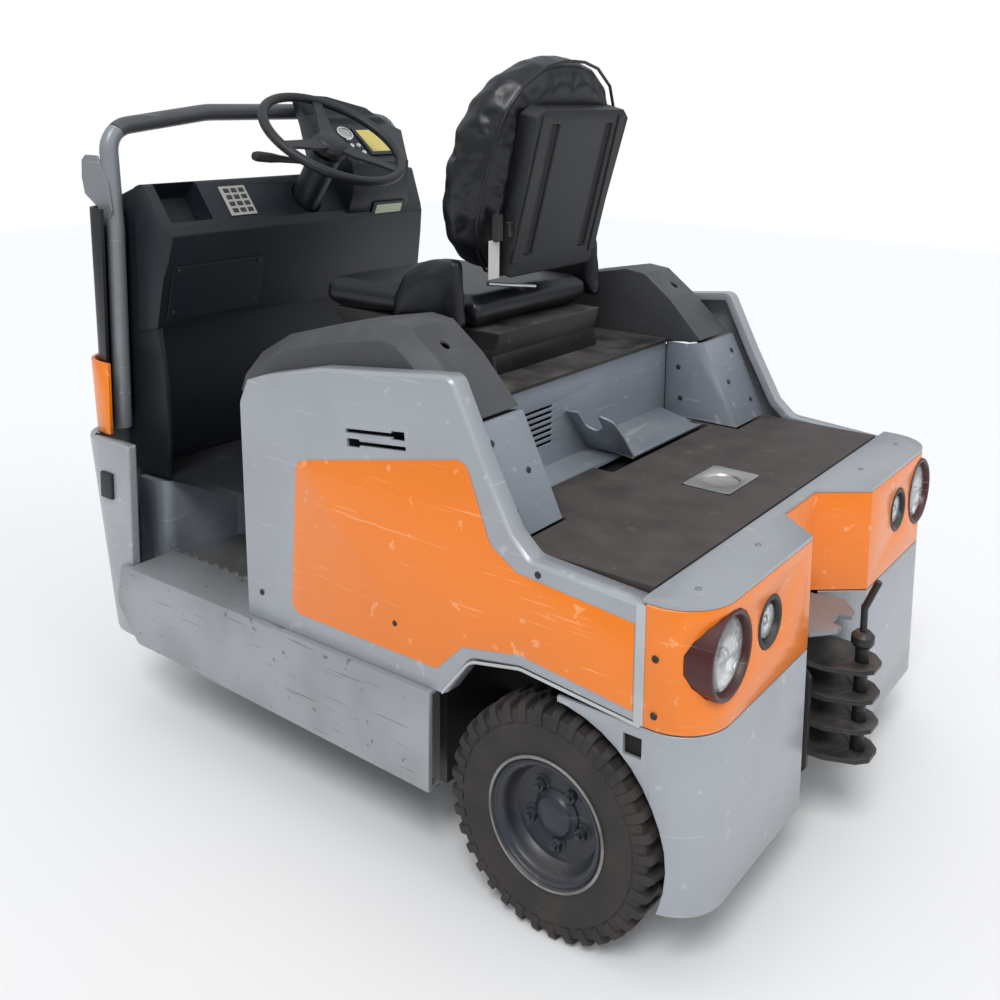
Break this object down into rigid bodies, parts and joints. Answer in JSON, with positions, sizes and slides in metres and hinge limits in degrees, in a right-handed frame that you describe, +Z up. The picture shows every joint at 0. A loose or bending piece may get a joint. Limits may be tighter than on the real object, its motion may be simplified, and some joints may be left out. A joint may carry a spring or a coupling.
{
  "type": "airport baggage tug",
  "caption": "Sit-on electric tow tractor with low entry steps, a flat rear deck, a single steered front wheel and a stepped tow coupling for baggage trains.",
  "frame": {"origin": "bottom centre of the bounding box, on the floor", "axes": "+X towards the front of the vehicle, +Y to its left, +Z up"},
  "size_m": [1.731, 1.124, 1.5153],
  "materials": {
    "silver_paint": "silver-grey paint, scuffed",
    "orange_paint": "orange paint, scratched",
    "grey_tube": "grey paint",
    "black_steel": "black paint, dusty",
    "moulded_plastic": "black moulded plastic",
    "vinyl": "black vinyl",
    "worn_steel": "worn bare steel",
    "deck_surface": "dark anti-slip board",
    "tyre": "dusty black rubber",
    "rim_paint": "dark paint",
    "lamp_lens": "pebbled clear lens"
  },
  "bodies": {
    "vehicle": {"battery": "moulded_plastic", "chassis_frame": "black_steel", "dash_console": "moulded_plastic", "dash_hood": "moulded_plastic", "foot_plate": "moulded_plastic", "front_bumper": "silver_paint", "front_cover": "orange_paint", "front_cowl": "moulded_plastic", "guard_hoop": "grey_tube", "hump_caps": "moulded_plastic", "inset_panels": "orange_paint", "lamp_bezels": "moulded_plastic", "lamp_lenses": "lamp_lens", "plug_guard": "silver_paint", "rear_axle": "black_steel", "rear_bands": "orange_paint", "rear_bulkhead": "silver_paint", "rear_lower_panels": "silver_paint", "rear_top_plate": "silver_paint", "seat_back": "vinyl", "seat_back_shell": "moulded_plastic", "seat_base": "black_steel", "seat_cushion": "vinyl", "seat_front_wall": "silver_paint", "seat_platform": "black_steel", "seat_wall": "silver_paint", "seat_wings": "vinyl", "side_panels": "silver_paint", "side_sills": "silver_paint", "slope_panels": "silver_paint", "steering_column": "black_steel", "step_plates": "worn_steel", "tow_jaws": "black_steel", "wheel_housing": "silver_paint"},
    "steer_fork": {"steer_fork": "black_steel"},
    "front_wheel": {"front_tyre": "tyre", "front_rim": "rim_paint"},
    "rear_wheel_left": {"rear_tyre_left": "tyre", "rear_rim_left": "rim_paint"},
    "rear_wheel_right": {"rear_tyre_right": "tyre", "rear_rim_right": "rim_paint"},
    "steering_wheel": {"steering_wheel": "moulded_plastic"},
    "deck_cover": {"deck_board": "deck_surface", "deck_grab": "worn_steel"},
    "coupling_pin": {"coupling_pin": "worn_steel"}
  },
  "joints": [
    {"name": "steer", "type": "hinge", "parent": "vehicle", "child": "steer_fork", "pos_m": [0.4995, 0, 0.48], "axis": [0, 0, 1], "range_deg": [-75, 75]},
    {"name": "front_wheel_spin", "type": "hinge", "parent": "steer_fork", "child": "front_wheel", "pos_m": [0.4995, 0, 0.2075], "axis": [0, 1, 0], "continuous": true},
    {"name": "rear_left_spin", "type": "hinge", "parent": "vehicle", "child": "rear_wheel_left", "pos_m": [-0.5005, 0.511, 0.2075], "axis": [0, 1, 0], "continuous": true},
    {"name": "rear_right_spin", "type": "hinge", "parent": "vehicle", "child": "rear_wheel_right", "pos_m": [-0.5005, -0.511, 0.2075], "axis": [0, 1, 0], "continuous": true},
    {"name": "steering_wheel_turn", "type": "hinge", "parent": "vehicle", "child": "steering_wheel", "pos_m": [0.5575, 0, 1.298], "axis": [-0.5446, 0, 0.8387], "continuous": true},
    {"name": "deck_cover_lift", "type": "slide", "parent": "vehicle", "child": "deck_cover", "axis": [0, 0, 1], "range_m": [0, 0.3]},
    {"name": "coupling_pin_lift", "type": "slide", "parent": "vehicle", "child": "coupling_pin", "axis": [0, 0, 1], "range_m": [0, 0.2]}
  ]
}
